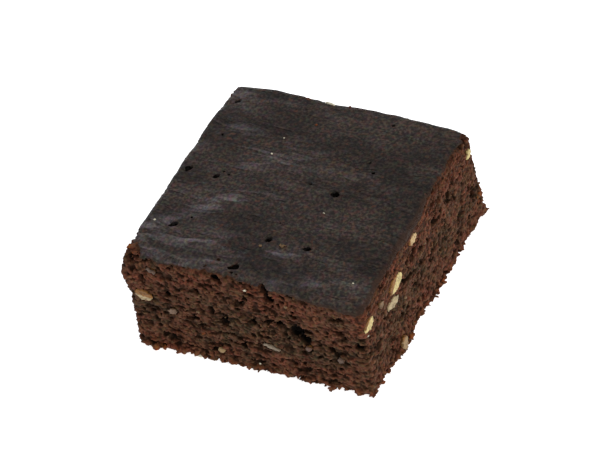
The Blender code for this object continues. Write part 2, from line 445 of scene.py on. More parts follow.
class Bench:
    """A material's node tree, and short ways to add to it."""

    def __init__(self, name: str) -> None:
        """Starts a material with a Principled shader."""
        self.material = bpy.data.materials.new(name)
        self.material.use_nodes = True
        self.tree = self.material.node_tree
        self.shader = self.tree.nodes["Principled BSDF"]

    def node(
        self,
        kind: str,
        settings: dict[str, object] | None = None,
        sockets: dict[str | int, object] | None = None,
        output: str | int = 0,
    ) -> Value:
        """Adds a node.

        Args:
            kind: The node's type.
            settings: Its settings, which are set first.
            sockets: What goes into its sockets: values to link, or constants.
            output: The output that is wanted.

        Returns:
            That output.
        """
        made = self.tree.nodes.new(kind)
        for name, setting in (settings or {}).items():
            setattr(made, name, setting)
        for name, value in (sockets or {}).items():
            self.feed(made.inputs[name], value)
        return Value(self, made.outputs[output])

    def feed(self, socket: bpy.types.NodeSocket, value: object) -> None:
        """Links a value to a socket, or sets the socket to a constant."""
        if isinstance(value, Value):
            self.tree.links.new(value.socket, socket)
        elif isinstance(value, tuple) and len(socket.default_value) == 4:
            socket.default_value = (*value, 1.0)
        else:
            socket.default_value = value

    def reading(self, name: str) -> Value:
        """A value that the mesh keeps for each point."""
        return self.node("ShaderNodeAttribute", {"attribute_name": name}, output="Fac")

    def place(self) -> Value:
        """The point's place on the object."""
        return self.node("ShaderNodeTexCoord", output="Object")

    def grain(self, size: float, place: Value | None = None, detail: float = 2.0) -> Value:
        """Noise with bumps of about this size, from 0 to 1.

        Args:
            size: From one bump to the next, in metres.
            place: Where it is read, if not at the point's own place.
            detail: How many finer layers it has.

        Returns:
            The noise.
        """
        return self.node(
            "ShaderNodeTexNoise",
            {"noise_dimensions": "3D"},
            {"Vector": place or self.place(), "Scale": 1 / size, "Detail": detail},
            output="Fac",
        )

    def stretched(self, shares: tuple[float, float, float], turn: float = 0.0) -> Value:
        """The point's place, turned about Z and squeezed along each axis."""
        return self.node(
            "ShaderNodeMapping",
            {"vector_type": "POINT"},
            {"Vector": self.place(), "Rotation": (0.0, 0.0, turn), "Scale": shares},
        )

    def clouds(self, size: float, place: Value, detail: float) -> Value:
        """Noise with three channels of its own, each about a half.

        Args:
            size: From one bump to the next, in metres.
            place: Where it is read.
            detail: How many finer layers it has.

        Returns:
            The noise, as a colour or a vector.
        """
        return self.node(
            "ShaderNodeTexNoise",
            {"noise_dimensions": "3D"},
            {"Vector": place, "Scale": 1 / size, "Detail": detail},
            output="Color",
        )

    def wavering(self, place: Value, size: float, reach: float) -> Value:
        """A place pushed about by slow noise.

        Args:
            place: The place to start from.
            size: From one bump of the noise to the next.
            reach: How far the place may be pushed.

        Returns:
            The pushed place.
        """
        slow = self.clouds(size, place, 1.0)
        centred = self.node(
            "ShaderNodeVectorMath", {"operation": "SUBTRACT"}, {0: slow, 1: (0.5,) * 3}
        )
        scaled = self.node(
            "ShaderNodeVectorMath", {"operation": "SCALE"}, {0: centred, "Scale": 2 * reach}
        )
        return self.node("ShaderNodeVectorMath", {"operation": "ADD"}, {0: place, 1: scaled})

    def mix(self, first: Value | Colour, second: Value | Colour, share: Value | float) -> Value:
        """A colour between two.

        Args:
            first: The colour where the share is 0.
            second: The colour where it is 1.
            share: How much of the second there is.

        Returns:
            The mixed colour.
        """
        return self._blend("MIX", first, second, share)

    def tinted(self, colour: Value, shade: Value | Colour, share: Value | float = 1.0) -> Value:
        """A colour multiplied by another one."""
        return self._blend("MULTIPLY", colour, shade, share)

    def dappled(self, colour: Value, size: float, share: float) -> Value:
        """A colour whose hue strays a little from place to place.

        Args:
            colour: The colour.
            size: From one hue to the next, in metres.
            share: How far it strays.

        Returns:
            The uneven colour.
        """
        hues = self.tinted(self.clouds(size, self.place(), 2.0), (2.0, 2.0, 2.0))
        return self.tinted(colour, hues, share)

    def _blend(self, way: str, first: object, second: object, share: object) -> Value:
        """One Mix node on colours."""
        return self.node(
            "ShaderNodeMix",
            {"data_type": "RGBA", "blend_type": way},
            {"Factor": share, 6: first, 7: second},
            output=2,
        )

    def bump(self, height: Value, depth: float, under: Value | None = None) -> Value:
        """A normal that leans with a height.

        Args:
            height: The height, where 1 is the full depth.
            depth: How deep the relief is, in metres.
            under: The normal to start from.

        Returns:
            The normal.
        """
        sockets = {"Height": height, "Distance": depth}
        if under:
            sockets["Normal"] = under
        return self.node("ShaderNodeBump", {}, sockets)

    def finish(self, sockets: dict[str, object]) -> bpy.types.Material:
        """Feeds the shader's own sockets and hands the material over."""
        for name, value in sockets.items():
            self.feed(self.shader.inputs[name], value)
        return self.material


# The finishes


@dataclass(frozen=True)
class CrumbFinish:
    """Moist cake crumb: reddish brown, greyer in the middle, with painted light and shade on the grain,
    painted shade down in the pores and hollows and a painted orange glow along the edges.
    """

    warm: Colour = (0.108, 0.0335, 0.0180)
    cool: Colour = (0.046, 0.0305, 0.0155)
    # light is the pale colour of real flecks, and also painted highlight on the grain's tops.
    light: Colour = (0.158, 0.078, 0.042)
    # deep is painted shade for the pores and hollows; the next colour is painted shadow for the deepest hollows.
    deep: Colour = (0.0100, 0.0050, 0.0022)
    painted_hollow_shadow: Colour = (0.0016, 0.0009, 0.0004)
    # The colour of the darker band just under the skin's lip.
    under_lip: Colour = (0.039, 0.0180, 0.0092)
    # Painted glow: orange light on the block's edges and the loose crumbs.
    painted_edge_glow: Colour = (0.200, 0.060, 0.0155)
    patch: float = 5 * MM
    speckle: float = 1.5 * MM
    fleck: float = 1.1 * MM
    smear: float = 0.9 * MM
    dapple: float = 0.9 * MM
    grain: float = 0.35 * MM

    def build(self) -> bpy.types.Material:
        """Makes the material."""
        bench = Bench("crumb")
        layers = bench.stretched((0.8, 1.0, 1.6))
        patches = bench.grain(self.patch, layers, 3.0).step(0.35, 0.65)
        olive = bench.grain(self.speckle, layers, 2.0).step(0.4, 0.62)
        share = patches * 0.42 + olive * 0.36 + bench.reading("middle") * 0.22
        colour = bench.mix(self.warm, self.cool, share)
        flecks = bench.grain(self.fleck, layers, 4.0)
        rise = bench.reading("rise")
        # Painted highlight on the tops of the grain, mixed with pale flecks of real colour.
        colour = bench.mix(colour, self.light, (flecks * 0.6 + rise * 0.4).step(0.55, 0.75) * 0.5)
        # Painted shade in the low parts of the grain, partly darker flecks of real colour.
        colour = bench.tinted(colour, self.painted_grain_shade(bench, flecks * 0.5 + rise * 0.5))
        run = bench.grain(self.smear, bench.stretched((1.0, 0.1, 1.0)), 3.0).step(0.38, 0.62)
        run = bench.mix((0.47, 0.40, 0.34), (1.1, 1.01, 0.92), run)
        colour = bench.tinted(colour, run, bench.reading("smear"))
        # Painted glow: orange light along the block's edges, broken up by noise.
        torn = bench.grain(self.fleck, None, 2.0).step(0.42, 0.62)
        colour = bench.mix(colour, self.painted_edge_glow, bench.reading("edge") * torn * 0.62)
        # Darker in a band just under the skin's lip.
        colour = bench.mix(self.under_lip, colour, bench.reading("lip").step(-0.3, 1.3) * 0.55 + 0.45)
        colour = bench.dappled(colour, self.dapple, 0.35)
        # Painted shade: pores and hollows darken with their depth and go black where deepest.
        hollow = bench.reading("hollow")
        shade = hollow.step(0.15, 0.75) * 0.49 + bench.reading("pore") * 0.36
        colour = bench.mix(colour, self.deep, shade)
        colour = bench.mix(colour, self.painted_hollow_shadow, hollow.step(0.95, 1.5))
        fine = bench.grain(self.grain, None, 3.0)
        return bench.finish({
            "Base Color": colour,
            "Roughness": 0.55 + 0.35 * fine,
            "Normal": bench.bump(fine, 0.14 * MM),
            "Specular IOR Level": 0.06,
        })

    def painted_grain_shade(self, bench: Bench, rise: Value) -> Value:
        """Painted light and shade: a tint that darkens the low parts of the crumb's grain and lightens its tops."""
        return bench.mix((0.40, 0.35, 0.28), (1.2, 1.2, 1.2), rise.step(0.34, 0.58))


STREAK_TURN = math.radians(18)
STREAK_AXES = (
    (math.cos(STREAK_TURN), math.sin(STREAK_TURN), 0.0),
    (-math.sin(STREAK_TURN), math.cos(STREAK_TURN), 0.0),
    (0.0, 0.0, 1.0),
)


@dataclass(frozen=True)
class SkinFinish:
    """The baked skin: nearly black, satin, with painted pale sheen in wavy streaks, and burst bubbles
    with painted shade in them.
    """

    dark: Colour = (0.0225, 0.0165, 0.0135)
    red: Colour = (0.067, 0.030, 0.0205)
    green: Colour = (0.0345, 0.0335, 0.0245)
    # Painted sheen: a pale grey-blue reflection on the skin.
    bloom: Colour = (0.112, 0.095, 0.097)
    rim: Colour = (0.040, 0.0205, 0.0130)
    # Painted shade for the burst bubbles and other hollows of the skin.
    painted_bubble_shade: Colour = (0.003, 0.0015, 0.001)
    fleck: Colour = (0.105, 0.042, 0.024)
    waver: float = 5.0 * MM
    dapple: float = 1.2 * MM

    def build(self) -> bpy.types.Material:
        """Makes the material."""
        bench = Bench("skin")
        mottle = bench.grain(1.4 * MM, None, 4.0)
        speck = bench.grain(0.7 * MM, None, 3.0)
        colour = bench.mix(self.dark, self.red, mottle.step(0.40, 0.70) * 0.7)
        colour = bench.mix(colour, self.green, speck.step(0.48, 0.62) * 0.6)
        run = bench.wavering(bench.stretched((0.25, 1.0, 1.0), -STREAK_TURN), 7 * MM, self.waver)
        # Painted sheen in pale wavy streaks, where the reading lets it show.
        bloom = bench.reading("bloom")
        streaks = (bench.grain(2.2 * MM, run, 5.0) + 0.12 * bloom).step(0.42, 0.67)
        colour = bench.mix(colour, self.bloom, streaks * bloom)
        broad = bench.grain(9 * MM, bench.stretched((0.5, 1.0, 1.0), -STREAK_TURN), 3.0)
        wide = bench.mix((0.62, 0.60, 0.58), (1.30, 1.30, 1.32), broad.step(0.33, 0.67))
        colour = bench.tinted(colour, wide)
        colour = bench.tinted(colour, bench.mix((0.68,) * 3, (1.35,) * 3, speck.step(0.35, 0.65)))
        colour = bench.dappled(colour, self.dapple, 0.5)
        spots = bench.grain(1.8 * MM, None, 1.5).step(0.66, 0.76)
        colour = bench.mix(colour, self.fleck, spots * 0.55)
        brink = bench.reading("brink")
        colour = bench.mix(colour, self.rim, brink * 0.8)
        colour = bench.mix(colour, self.rim, bench.reading("lip").step(-0.35, 0.05) * 0.8)
        # Painted shade down in the burst bubbles and other hollows of the skin.
        colour = bench.mix(colour, self.painted_bubble_shade, bench.reading("hollow").step(0.25, 0.6))
        fine = bench.grain(0.5 * MM, None, 3.0)
        leather = bench.bump(mottle, 0.22 * MM, bench.bump(streaks, 0.6 * MM))
        return bench.finish({
            "Base Color": colour,
            "Roughness": 0.42 + 0.25 * mottle + 0.3 * brink,
            "Normal": bench.bump(fine, 0.08 * MM, leather),
            "Specular IOR Level": 0.15,
        })


class Tone(Enum):
    """What the cut flesh of a piece of almond looks like."""

    PALE = (0.62, 0.57, 0.43)
    CREAM = (0.55, 0.44, 0.19)
    HONEY = (0.45, 0.31, 0.145)
    IVORY = (0.39, 0.30, 0.165)
    TAN = (0.27, 0.175, 0.08)
    GREY = (0.235, 0.185, 0.130)
    DUSKY = (0.165, 0.100, 0.062)
    ROSE = (0.115, 0.062, 0.043)
    UMBER = (0.100, 0.062, 0.043)
    FAWN = (0.175, 0.105, 0.050)


@dataclass(frozen=True)
class AlmondFinish:
    """Cut almond: pale flesh, with orange-brown skin where the rind reading says so."""

    tone: Tone
    rind: Colour = (0.235, 0.105, 0.026)
    crumb: Colour = (0.10, 0.045, 0.022)

    def build(self) -> bpy.types.Material:
        """Makes the material."""
        bench = Bench("almond_" + self.tone.name.lower())
        cloud = bench.grain(1.1 * MM, None, 3.0)
        shade = tuple(0.62 * part for part in self.tone.value)
        colour = bench.mix(shade, self.tone.value, cloud.step(0.3, 0.6))
        dusk = tuple(0.6 * part for part in self.rind)
        skin = bench.mix(self.rind, dusk, cloud.step(0.4, 0.7))
        colour = bench.mix(colour, skin, bench.reading("rind"))
        smudge = bench.grain(0.9 * MM, None, 3.0).step(0.58, 0.68)
        colour = bench.mix(colour, self.crumb, smudge * 0.7)
        fine = bench.grain(0.3 * MM, None, 2.0)
        return bench.finish({
            "Base Color": colour,
            "Roughness": 0.45 + 0.25 * fine,
            "Normal": bench.bump(fine, 0.06 * MM),
            "Specular IOR Level": 0.2,
        })


# The block


class Tear(NamedTuple):
    """A place where the skin has torn off, in mm on the plan."""

    x: float
    y: float
    reach: float


class Hollow(NamedTuple):
    """A hole that bubbles or the knife left in a cut face, in mm from the middle of its foot."""

    side: Side
    along: float
    up: float
    length: float
    height: float
    turn: float = 0.0


class Bubble(NamedTuple):
    """A small burst bubble in the skin, in mm on the plan."""

    x: float
    y: float
    width: float
    breadth: float


class SheenPatch(NamedTuple):
    """A place where painted pale sheen shows in streaks on the skin, in mm on the plan."""

    x: float
    y: float
    length: float
    breadth: float
    strength: float


TEARS = (
    Tear(-32.6, -31.6, 5.4),
    Tear(-6.2, -32.6, 2.0),
    Tear(31.9, 33.4, 1.6),
    Tear(-11.0, 32.4, 1.4),
)

# How far under the top the skin ends, along the front cut and the right one, in mm
LIP_FRONT = ((-33, 0.5), (-25, 0.6), (-20, 0.9), (-13, 0.6), (-4, 0.2), (6, 0.3), (14, 1.2), (33, 1.3))
LIP_RIGHT = ((-33, 1.3), (-22, 0.8), (-12, 1.2), (-4, 1.8), (3, 1.6), (10, 0.5), (22, 0.2), (33, 0.3))

HOLLOWS = (
    Hollow(Side.FRONT, 13.8, 16.1, 4.8, 3.9, -0.4),
    Hollow(Side.FRONT, 15.8, 14.2, 3.0, 2.4, -0.4),
    Hollow(Side.FRONT, 9.5, 17.6, 3.0, 1.9),
    Hollow(Side.FRONT, 6.5, 27.9, 3.0, 2.0, -0.4),
    Hollow(Side.FRONT, 7.9, 25.5, 2.6, 2.8),
    Hollow(Side.FRONT, -6.4, 27.5, 3.6, 2.2, -0.2),
    Hollow(Side.FRONT, -1.0, 21.7, 2.6, 1.9),
    Hollow(Side.FRONT, 1.8, 16.0, 2.3, 1.6),
    Hollow(Side.FRONT, -6.2, 14.0, 2.8, 1.7, -0.2),
    Hollow(Side.FRONT, -1.8, 7.6, 2.0, 1.3),
    Hollow(Side.FRONT, -16.0, 12.3, 2.2, 1.4),
    Hollow(Side.FRONT, -21.8, 4.7, 2.4, 1.5),
    Hollow(Side.FRONT, -21.3, 18.2, 2.2, 1.5),
    Hollow(Side.FRONT, -12.6, 21.6, 2.4, 1.2),
    Hollow(Side.FRONT, 24.9, 20.0, 3.4, 0.9),
    Hollow(Side.FRONT, -30.0, 27.2, 2.8, 1.8, -0.3),
    Hollow(Side.FRONT, -27.4, 22.6, 1.8, 1.2, -0.3),
    Hollow(Side.FRONT, 30.2, 15.8, 2.3, 1.5),
    Hollow(Side.RIGHT, 28.1, 10.9, 2.6, 3.4),
    Hollow(Side.RIGHT, 16.9, 21.0, 2.6, 2.2),
    Hollow(Side.RIGHT, 12.2, 23.8, 2.0, 2.0),
    Hollow(Side.RIGHT, 8.5, 25.6, 2.8, 1.6, 0.2),
    Hollow(Side.RIGHT, 7.9, 20.2, 3.2, 1.9, 0.4),
    Hollow(Side.RIGHT, -4.9, 20.2, 2.6, 2.0),
    Hollow(Side.RIGHT, -1.4, 15.3, 2.0, 1.6),
    Hollow(Side.RIGHT, -7.4, 21.4, 2.0, 1.6),
    Hollow(Side.RIGHT, 20.4, 22.6, 1.6, 1.5),
    Hollow(Side.RIGHT, 29.6, 26.6, 0.9, 4.2),
    Hollow(Side.RIGHT, -26.9, 11.8, 2.2, 1.6),
    Hollow(Side.RIGHT, -30.4, 13.6, 1.8, 1.8),
    Hollow(Side.BACK, 8.6, 21.4, 2.6, 1.6),
    Hollow(Side.BACK, -22.0, 11.6, 2.2, 1.5),
    Hollow(Side.BACK, -8.0, 25.2, 2.6, 1.3),
    Hollow(Side.BACK, 23.0, 9.0, 2.0, 1.6),
    Hollow(Side.LEFT, -4.6, 19.0, 2.6, 1.6),
    Hollow(Side.LEFT, 14.2, 10.2, 2.2, 1.5),
    Hollow(Side.LEFT, -20.4, 13.0, 2.0, 1.6),
    Hollow(Side.LEFT, 24.6, 22.0, 2.4, 1.4),
)

BUBBLES = (
    Bubble(10.1, 1.7, 2.0, 1.7),
    Bubble(-24.0, -19.2, 2.2, 1.1),
    Bubble(-3.0, -27.8, 2.7, 1.2),
    Bubble(11.5, -17.2, 2.2, 1.2),
    Bubble(1.1, -17.0, 1.7, 1.3),
    Bubble(-29.3, -0.4, 1.7, 1.7),
    Bubble(-21.4, -0.9, 1.2, 1.1),
    Bubble(-28.6, 25.8, 1.5, 1.0),
    Bubble(-20.1, 1.3, 0.8, 0.7),
    Bubble(13.6, 28.4, 0.9, 0.8),
    Bubble(13.6, 14.5, 0.9, 0.8),
    Bubble(16.0, 11.4, 0.8, 0.8),
    Bubble(2.9, 3.1, 0.8, 0.7),
    Bubble(-18.4, 0.8, 0.8, 0.6),
    Bubble(-26.4, 13.2, 0.8, 0.7),
    Bubble(-20.6, -15.2, 0.7, 0.6),
    Bubble(1.6, -11.2, 0.7, 0.6),
)

# Where painted sheen shows on the skin.
SHEEN_PATCHES = (
    SheenPatch(-16.3, -9.2, 5.0, 2.0, 0.9),
    SheenPatch(-22.0, -13.2, 5.0, 1.2, 0.5),
    SheenPatch(-15.8, -22.3, 6.0, 1.2, 0.5),
    SheenPatch(-10.5, -27.2, 6.5, 1.8, 0.6),
    SheenPatch(-25.0, -17.4, 5.0, 1.3, 0.55),
    SheenPatch(-28.8, -21.0, 4.5, 2.4, 0.55),
    SheenPatch(-27.0, -27.5, 5.0, 3.0, 0.35),
    SheenPatch(-22.6, 16.3, 6.5, 1.5, 0.6),
    SheenPatch(-8.1, 9.5, 9.0, 2.6, 0.35),
    SheenPatch(5.6, -20.4, 6.0, 1.7, 0.6),
    SheenPatch(-29.4, 29.4, 4.0, 2.6, 0.4),
    SheenPatch(25.5, -25.0, 8.0, 2.0, 0.55),
    SheenPatch(13.0, -28.5, 11.0, 3.0, 0.35),
    SheenPatch(14.0, 9.0, 9.0, 2.0, 0.25),
)


@dataclass
class Block:
    """The cake: a porous crumb on its four cut faces, under a thin smooth skin."""

    cell: float = 0.27 * MM
    spare: int = 6
    reach: float = 2.2 * MM
    closing: float = 2.0 * MM
    skin_depth: float = 0.80 * MM
    skin_sway: float = 0.12 * MM
    skin_rag: float = 0.14 * MM
    skin_blend: float = 0.15 * MM
    skin_waves: float = 0.07 * MM
    pore_sizes: tuple[float, float, float] = (3.6 * MM, 2.5 * MM, 1.5 * MM)
    pore_level: float = 0.52
    pore_slope: float = 0.36 * MM
    pore_depth: float = 0.95 * MM
    small_sizes: tuple[float, float, float] = (1.9 * MM, 1.4 * MM, 1.0 * MM)
    small_level: float = 0.65
    small_slope: float = 0.2 * MM
    small_depth: float = 0.4 * MM
    grain_height: float = 0.11 * MM
    lump_height: float = 0.14 * MM
    edge_height: float = 0.12 * MM
    sink: float = 0.12 * MM
    bubble_depth: float = 1.9 * MM
    hollow_depth: float = 2.1 * MM
    foot_bulge: float = 0.22 * MM
    foot_level: float = 2.0 * MM
    slab: float = 5.0 * MM
    undercut: float = 0.27 * MM
    lattice: Lattice = field(init=False)
    solid: np.ndarray = field(init=False)
    sheath: np.ndarray = field(init=False)

    def __post_init__(self) -> None:
        """Reads the solid and fills its hollows for the sheath, which depths are measured from."""
        low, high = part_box(BLOCK_NODE)
        self.lattice = Lattice.around(low, high, self.cell, self.spare)
        mesh = solid_mesh(BLOCK_NODE)
        self.solid = self.lattice.distance_to(*mesh, self.reach)
        coarse = self.lattice.coarser(2)
        wide = Lattice.around(low, high, coarse.cell, round(2 * self.closing / coarse.cell))
        swollen = wide.surface(wide.distance_to(*mesh, self.closing + coarse.cell), self.closing)
        sheath = coarse.distance_to(*swollen, self.closing + self.reach) + self.closing
        self.sheath = coarse.stretched_to(sheath, self.lattice)

    def under_top(self) -> np.ndarray:
        """How far each cell lies under the skin's top, as if the edges weren't rounded."""
        heights = self.lattice.lines()[2].ravel()
        top = np.where(self.sheath < 0, heights, -1).max(axis=2)
        margin = self.spare + round(5 * MM / self.cell)
        inner = top[margin:-margin, margin:-margin]
        top = np.pad(inner, margin, mode="edge")
        return top[:, :, None] - heights

    def outline(self) -> np.ndarray:
        """The distance to the block's outline in plan, in each column of cells."""
        level = round(self.foot_level / self.cell) - self.lattice.first[2]
        return self.sheath[:, :, level, None]

    def lip(self) -> np.ndarray:
        """The distance to the skin's ragged lower lip, negative in the skin."""
        noise = self.lattice.noise
        sway = np.clip(noise(11, (7 * MM, 7 * MM, 5 * MM), 4), -1.6, 1.6)
        ragged = np.clip(noise(18, (1.9 * MM, 1.9 * MM, 1.3 * MM), 2), -1.5, 2)
        lip = self.under_top() - self.skin_sway * sway - self.skin_rag * ragged
        across, back, _ = self.lattice.lines()
        front = np.interp(across, *zip(*((place * MM, depth * MM) for place, depth in LIP_FRONT)))
        right = np.interp(back, *zip(*((place * MM, depth * MM) for place, depth in LIP_RIGHT)))
        depth = self.skin_depth + (front - self.skin_depth) * smooth_step(-20 * MM, -29 * MM, back)
        depth = depth + (right - depth) * smooth_step(26 * MM, 31 * MM, across + 0 * back)
        lip = lip - np.maximum(depth, 0.45 * MM)
        for tear in TEARS:
            away = np.hypot(across - tear.x * MM, back - tear.y * MM)
            lip = np.maximum(lip, tear.reach * MM + 0.35 * MM * ragged - away)
        return lip

    def pores(self, skin: np.ndarray) -> tuple[np.ndarray, np.ndarray]:
        """The distance to the pores, which open in the cut faces and end a little way in.

        Args:
            skin: How much of each cell is skin, which has no pores.

        Returns:
            One value for each cell, negative in a pore, as if the pores had no end, and as they are.
        """
        lattice = self.lattice
        across, back, up = lattice.lines()
        broad = lattice.noise(14, (11 * MM, 9 * MM, 5 * MM), 4)
        right = smooth_step(26 * MM, 29 * MM, across)
        smooth = 0.55 * right * smooth_step(21 * MM, 25 * MM, up)
        front = smooth_step(9 * MM, 17 * MM, across) * smooth_step(16 * MM, 21 * MM, up)
        smooth = smooth + 0.6 * front * smooth_step(-28 * MM, -31 * MM, back)
        level = self.pore_level - 0.38 * broad + smooth
        found = (level - lattice.noise(13, self.pore_sizes, 2)) * self.pore_slope
        level = self.small_level - 0.3 * broad + smooth
        small = (level - lattice.noise(15, self.small_sizes, 1)) * self.small_slope
        small = np.maximum(small, -(self.sheath + self.small_depth))
        found = np.minimum(found, small)
        inland = smooth_step(-0.8 * MM, -1.6 * MM, self.outline())
        foot = inland * smooth_step(0.9 * MM, 0.3 * MM, up)
        found += (skin + foot) * self.pore_depth
        floor = -(self.sheath + self.pore_depth + 0.25 * MM * broad)
        return found, np.maximum(found, floor)

    def relief(self, crumb: np.ndarray) -> tuple[np.ndarray, np.ndarray]:
        """The crumb's grain and its ragged edges, and the skin's waves.

        Args:
            crumb: How much of each cell is crumb.

        Returns:
            How far each cell's surface stands out of the solid, and how high it lies in the
            grain, from 0 to 1.
        """
        noise = self.lattice.noise
        fine = noise(12, (1.05 * MM, 1.05 * MM, 0.8 * MM), 1)
        lumps = noise(16, (2.2 * MM, 2.2 * MM, 1.8 * MM), 2)
        waves = noise(17, (9 * MM, 5 * MM, 5 * MM), 3)
        rough = self.lump_height + self.edge_height * self.edges()
        low = smooth_step(3 * MM, 0.8 * MM, self.lattice.lines()[2])
        base = self.foot_bulge * low - self.sink
        made = crumb * (self.grain_height * fine + rough * lumps + base)
        made += (1 - crumb) * self.skin_waves * (waves - 0.6)
        return made, smooth_step(-1.6, 1.6, 0.75 * fine + 0.5 * lumps)

    def edges(self) -> np.ndarray:
        """How near each cell is to two of the block's outer faces, as a share."""
        gaps = [
            np.minimum(line - low, high - line)
            for line, low, high in zip(self.lattice.lines(), CAD_BOX[0], CAD_BOX[1])
        ]
        second = np.maximum(np.minimum(gaps[0], gaps[1]), gaps[2])
        second = np.minimum(second, np.maximum(gaps[0], gaps[1]))
        return 1 - smooth_step(0.8 * MM, 2.6 * MM, second)

    def filled_behind(self, distance: np.ndarray) -> np.ndarray:
        """Fills what lies well behind crumb that stands in front of it, so no tunnels are left.

        Args:
            distance: The carved field.

        Returns:
            The field with every hollow open to the outside.
        """
        low, high = CAD_BOX
        lines = self.lattice.lines()
        gaps = [lines[1] - low.y, high.x - lines[0], high.y - lines[1], lines[0] - low.x]
        cells = round(self.slab / self.cell) + self.spare
        behind = round(self.undercut / self.cell)
        filled = distance.copy()
        for side in Side:
            axis = 1 if side in (Side.FRONT, Side.BACK) else 0
            ways = [slice(None)] * 3
            ways[axis] = slice(cells) if side in (Side.FRONT, Side.LEFT) else slice(-1, -cells, -1)
            ways = tuple(ways)
            others = np.minimum.reduce(np.broadcast_arrays(*[gap for gap in gaps]))
            mine = (np.broadcast_to(gaps[side.value], distance.shape) <= others)[ways]
            part = distance[ways]
            solid = np.minimum.accumulate(part, axis=axis)
            shifted = np.roll(solid, behind, axis=axis)
            start = [slice(None)] * 3
            start[axis] = slice(behind)
            shifted[tuple(start)] = part[tuple(start)]
            filled[ways] = np.where(mine, np.minimum(part, shifted), filled[ways])
        return filled

    def carve_hollows(self, distance: np.ndarray) -> None:
        """Carves the named hollows and bubbles, and sinks the solid's own bubbles deeper."""
        for bubble in BUBBLES:
            above = Vector((bubble.x * MM, bubble.y * MM, CAD_BOX[1].z + MM))
            centre = self.first_touch(above, Vector((0, 0, -1)))
            half = (bubble.width * MM / 2, bubble.breadth * MM / 2, self.bubble_depth)
            self.scoop(distance, centre, np.array(STREAK_AXES), half)
        for hollow in HOLLOWS:
            side = hollow.side
            beyond = side.along * hollow.along + side.outward * 36
            start = Vector((*beyond[:2], hollow.up)) * MM
            centre = self.first_touch(start, -Vector(side.outward))
            turned = [
                side.along * math.cos(hollow.turn) + np.array((0, 0, math.sin(hollow.turn))),
                side.outward,
            ]
            turned.append(np.cross(turned[0], turned[1]))
            half = (hollow.length * MM / 2, self.hollow_depth, hollow.height * MM / 2)
            self.scoop(distance, centre, np.array(turned), half)

    def first_touch(self, start: Vector, way: Vector) -> Vector:
        """Where the block's smooth outside is first met, from a point and in a direction."""
        points = np.array(start) + np.arange(0, 12 * MM, 0.1 * MM)[:, None] * np.array(way)
        inside = self.lattice.read(self.sheath, points) < 0
        return Vector(points[inside][0])

    def scoop(
        self,
        distance: np.ndarray,
        centre: Vector,
        axes: np.ndarray,
        half: tuple[float, float, float],
    ) -> None:
        """Takes a rough egg out of the field.

        Args:
            distance: The field, which is changed.
            centre: The egg's middle.
            axes: Its three directions, one in each row.
            half: Its half sizes along them.
        """
        reach = Vector((max(half) + 1.5 * self.cell,) * 3)
        window, near = self.lattice.window(centre - reach, centre + reach)
        lines = np.broadcast_arrays(*[line - part for line, part in zip(near.lines(), centre)])
        scaled = [sum(part * way for part, way in zip(lines, axis)) / size for axis, size in zip(axes, half)]
        size = np.sqrt(sum(part**2 for part in scaled))
        seed = int(abs(centre.x + 3 * centre.y + 7 * centre.z) / MM * 10)
        rough = 0.12 * near.noise(seed, (1.6 * MM,) * 3)
        tool = (size - 1 + rough) * min(half) / 1.15
        distance[window] = carved(distance[window], tool, 0.15 * MM)

    def carve(self) -> dict[str, np.ndarray]:
        """Carves the crumb.

        Returns:
            The finished field as "distance", the distance to the skin's lip as "lip", the
            distance to the endless pores as "pore", and the place in the grain as "rise".
        """
        lip = self.lip()
        skin = 1 - smooth_step(-self.skin_blend, self.skin_blend, lip)
        relief, rise = self.relief(1 - skin)
        distance = self.solid - relief
        endless, tool = self.pores(skin)
        distance = carved(distance, tool, 0.2 * MM)
        distance = self.filled_behind(distance)
        self.carve_hollows(distance)
        distance = np.maximum(distance, self.walls())
        return {
            "distance": distance,
            "lip": lip,
            "drop": self.under_top(),
            "pore": endless,
            "rise": rise,
        }

    def walls(self) -> np.ndarray:
        """The distance to the CAD box, which nothing may stand out of."""
        lines = self.lattice.lines()
        beyond = [
            np.maximum(low - line, line - high)
            for line, low, high in zip(lines, CAD_BOX[0], CAD_BOX[1])
        ]
        return np.maximum(np.maximum(beyond[0], beyond[1]), beyond[2])

    def build(self, crumb: bpy.types.Material, skin: bpy.types.Material) -> list[bpy.types.Object]:
        """Carves, meshes and dresses the block.

        Args:
            crumb: The material of the cut faces and the foot.
            skin: The material of the top.

        Returns:
            One piece for each cut face, the skin and the foot.
        """
        fields = self.carve()
        points, quads = self.lattice.surface(fields["distance"])
        quads = biggest_body(points, quads)
        log.info("block: %d points, %d quads", len(points), len(quads))
        low, high = (np.array(corner) for corner in CAD_BOX)
        nearest = np.sort(np.minimum(points - low, high - points), axis=1)[:, 1]
        up = points[:, 2]
        lip = self.lattice.read(fields["lip"], points)
        right = smooth_step(30 * MM, 31.5 * MM, points[:, 0])
        # Painted shade: well deepens the hollow reading inside the burst bubbles.
        well = np.zeros(len(points))
        for bubble in BUBBLES:
            away = np.hypot(points[:, 0] - bubble.x * MM, points[:, 1] - bubble.y * MM)
            reach = bubble.width * MM
            well = np.maximum(well, smooth_step(0.9 * reach, 0.65 * reach, away))
        well *= smooth_step(5 * MM, 4 * MM, high[2] - up)
        depth = -self.lattice.read(self.sheath, points) / MM
        drop = self.lattice.read(fields["drop"], points)
        well *= smooth_step(0.25, 0.7, depth)
